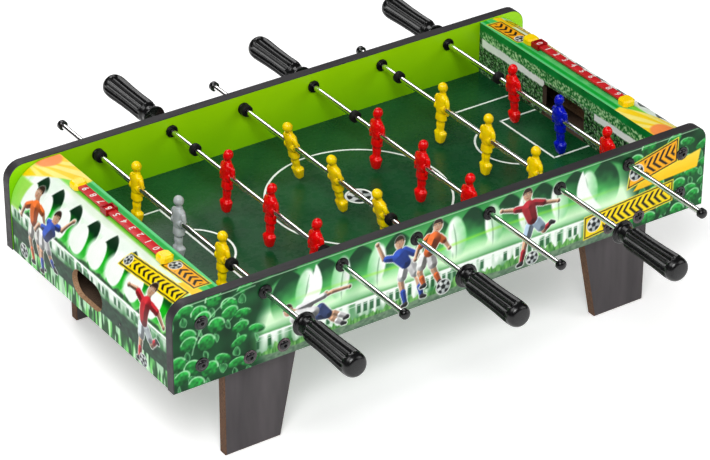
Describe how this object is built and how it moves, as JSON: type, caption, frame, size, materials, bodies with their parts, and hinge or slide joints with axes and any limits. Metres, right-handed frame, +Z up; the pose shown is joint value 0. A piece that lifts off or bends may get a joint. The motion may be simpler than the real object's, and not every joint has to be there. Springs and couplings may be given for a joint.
{
  "type": "tabletop football game table",
  "caption": "Small football game table on tapered legs: men on sliding, spinning rods over a walled pitch with goals, ball outlets and score rails.",
  "frame": {"origin": "centre of the bounding box at floor level; the middle of the table itself is 42.75 mm behind it, because the front grips reach further out than the back ones", "axes": "+X along the table toward the right end, +Y from the front side to the back side along the rods, +Z up"},
  "size_m": [0.69, 0.6794, 0.2255],
  "materials": {
    "printed_front": "fibreboard with printed green and white artwork, charcoal edge band",
    "lime_laminate": "fibreboard with lime laminate inside, charcoal edge band",
    "printed_green": "bent fibreboard with printed green and white artwork",
    "printed_crowd": "fibreboard printed with a dark green crowd pattern",
    "pitch_laminate": "fibreboard with a glossy dark green pitch print",
    "raw_fibreboard": "unprinted fibreboard",
    "charcoal_laminate": "fibreboard with charcoal laminate and brown edges",
    "bright_steel": "bright plated steel",
    "black_plastic": "black moulded plastic",
    "black_rubber": "soft black rubber",
    "yellow_plastic": "yellow moulded plastic",
    "red_plastic": "red moulded plastic",
    "blue_plastic": "blue moulded plastic",
    "silver_plastic": "silver grey moulded plastic",
    "score_rail_plastic": "red plastic rail with white digits between yellow posts",
    "score_slider_plastic": "dark red plastic"
  },
  "bodies": {
    "table": {"side_panel_front": "printed_front", "side_panel_back": "lime_laminate", "hood_left": "printed_green", "goal_panel_left": "printed_crowd", "ball_tray_left": "raw_fibreboard", "hood_right": "printed_green", "goal_panel_right": "printed_crowd", "ball_tray_right": "raw_fibreboard", "playfield": "pitch_laminate", "leg_front_left": "charcoal_laminate", "leg_front_right": "charcoal_laminate", "leg_back_left": "charcoal_laminate", "leg_back_right": "charcoal_laminate", "score_rail_left": "score_rail_plastic", "score_rail_right": "score_rail_plastic"},
    "score_marker_left": {"score_slider_left": "score_slider_plastic"},
    "score_marker_right": {"score_slider_right": "score_slider_plastic"},
    "rod_1_stops": {"bumper_1_front": "black_rubber", "bumper_1_back": "black_rubber"},
    "rod_1_team": {"rod_1": "bright_steel", "grip_1": "black_plastic", "man_1_front": "yellow_plastic", "man_1_middle": "silver_plastic", "man_1_back": "yellow_plastic"},
    "rod_2_stops": {"bumper_2_front": "black_rubber", "bumper_2_back": "black_rubber"},
    "rod_2_team": {"rod_2": "bright_steel", "grip_2": "black_plastic", "man_2_front": "red_plastic", "man_2_middle": "red_plastic", "man_2_back": "red_plastic"},
    "rod_3_stops": {"bumper_3_front": "black_rubber", "bumper_3_back": "black_rubber"},
    "rod_3_team": {"rod_3": "bright_steel", "grip_3": "black_plastic", "man_3_front": "yellow_plastic", "man_3_middle": "yellow_plastic", "man_3_back": "yellow_plastic"},
    "rod_4_stops": {"bumper_4_front": "black_rubber", "bumper_4_back": "black_rubber"},
    "rod_4_team": {"rod_4": "bright_steel", "grip_4": "black_plastic", "man_4_front": "red_plastic", "man_4_middle": "red_plastic", "man_4_back": "red_plastic"},
    "rod_5_stops": {"bumper_5_front": "black_rubber", "bumper_5_back": "black_rubber"},
    "rod_5_team": {"rod_5": "bright_steel", "grip_5": "black_plastic", "man_5_front": "yellow_plastic", "man_5_middle": "yellow_plastic", "man_5_back": "yellow_plastic"},
    "rod_6_stops": {"bumper_6_front": "black_rubber", "bumper_6_back": "black_rubber"},
    "rod_6_team": {"rod_6": "bright_steel", "grip_6": "black_plastic", "man_6_front": "red_plastic", "man_6_middle": "blue_plastic", "man_6_back": "red_plastic"}
  },
  "joints": [
    {"name": "score_slide_left", "type": "slide", "parent": "table", "child": "score_marker_left", "axis": [0, 1, 0], "range_m": [-0.0985, 0.0499]},
    {"name": "score_slide_right", "type": "slide", "parent": "table", "child": "score_marker_right", "axis": [0, 1, 0], "range_m": [-0.1471, 0.0013]},
    {"name": "rod_1_slide", "type": "slide", "parent": "table", "child": "rod_1_stops", "axis": [0, 1, 0], "range_m": [-0.0436, 0]},
    {"name": "rod_1_spin", "type": "hinge", "parent": "rod_1_stops", "child": "rod_1_team", "pos_m": [-0.23475, 0.03475, 0.195], "axis": [0, 1, 0], "continuous": true},
    {"name": "rod_2_slide", "type": "slide", "parent": "table", "child": "rod_2_stops", "axis": [0, 1, 0], "range_m": [-0.012, 0.0442]},
    {"name": "rod_2_spin", "type": "hinge", "parent": "rod_2_stops", "child": "rod_2_team", "pos_m": [-0.14085, 0.00175, 0.195], "axis": [0, 1, 0], "continuous": true},
    {"name": "rod_3_slide", "type": "slide", "parent": "table", "child": "rod_3_stops", "axis": [0, 1, 0], "range_m": [-0.0269, 0]},
    {"name": "rod_3_spin", "type": "hinge", "parent": "rod_3_stops", "child": "rod_3_team", "pos_m": [-0.04695, 0.01875, 0.195], "axis": [0, 1, 0], "continuous": true},
    {"name": "rod_4_slide", "type": "slide", "parent": "table", "child": "rod_4_stops", "axis": [0, 1, 0], "range_m": [0, 0.0786]},
    {"name": "rod_4_spin", "type": "hinge", "parent": "rod_4_stops", "child": "rod_4_team", "pos_m": [0.04695, -0.01025, 0.195], "axis": [0, 1, 0], "continuous": true},
    {"name": "rod_5_slide", "type": "slide", "parent": "table", "child": "rod_5_stops", "axis": [0, 1, 0], "range_m": [-0.0045, 0.0296]},
    {"name": "rod_5_spin", "type": "hinge", "parent": "rod_5_stops", "child": "rod_5_team", "pos_m": [0.14085, -0.00175, 0.195], "axis": [0, 1, 0], "continuous": true},
    {"name": "rod_6_slide", "type": "slide", "parent": "table", "child": "rod_6_stops", "axis": [0, 1, 0], "range_m": [0, 0.0936]},
    {"name": "rod_6_spin", "type": "hinge", "parent": "rod_6_stops", "child": "rod_6_team", "pos_m": [0.23475, -0.01025, 0.195], "axis": [0, 1, 0], "continuous": true}
  ]
}
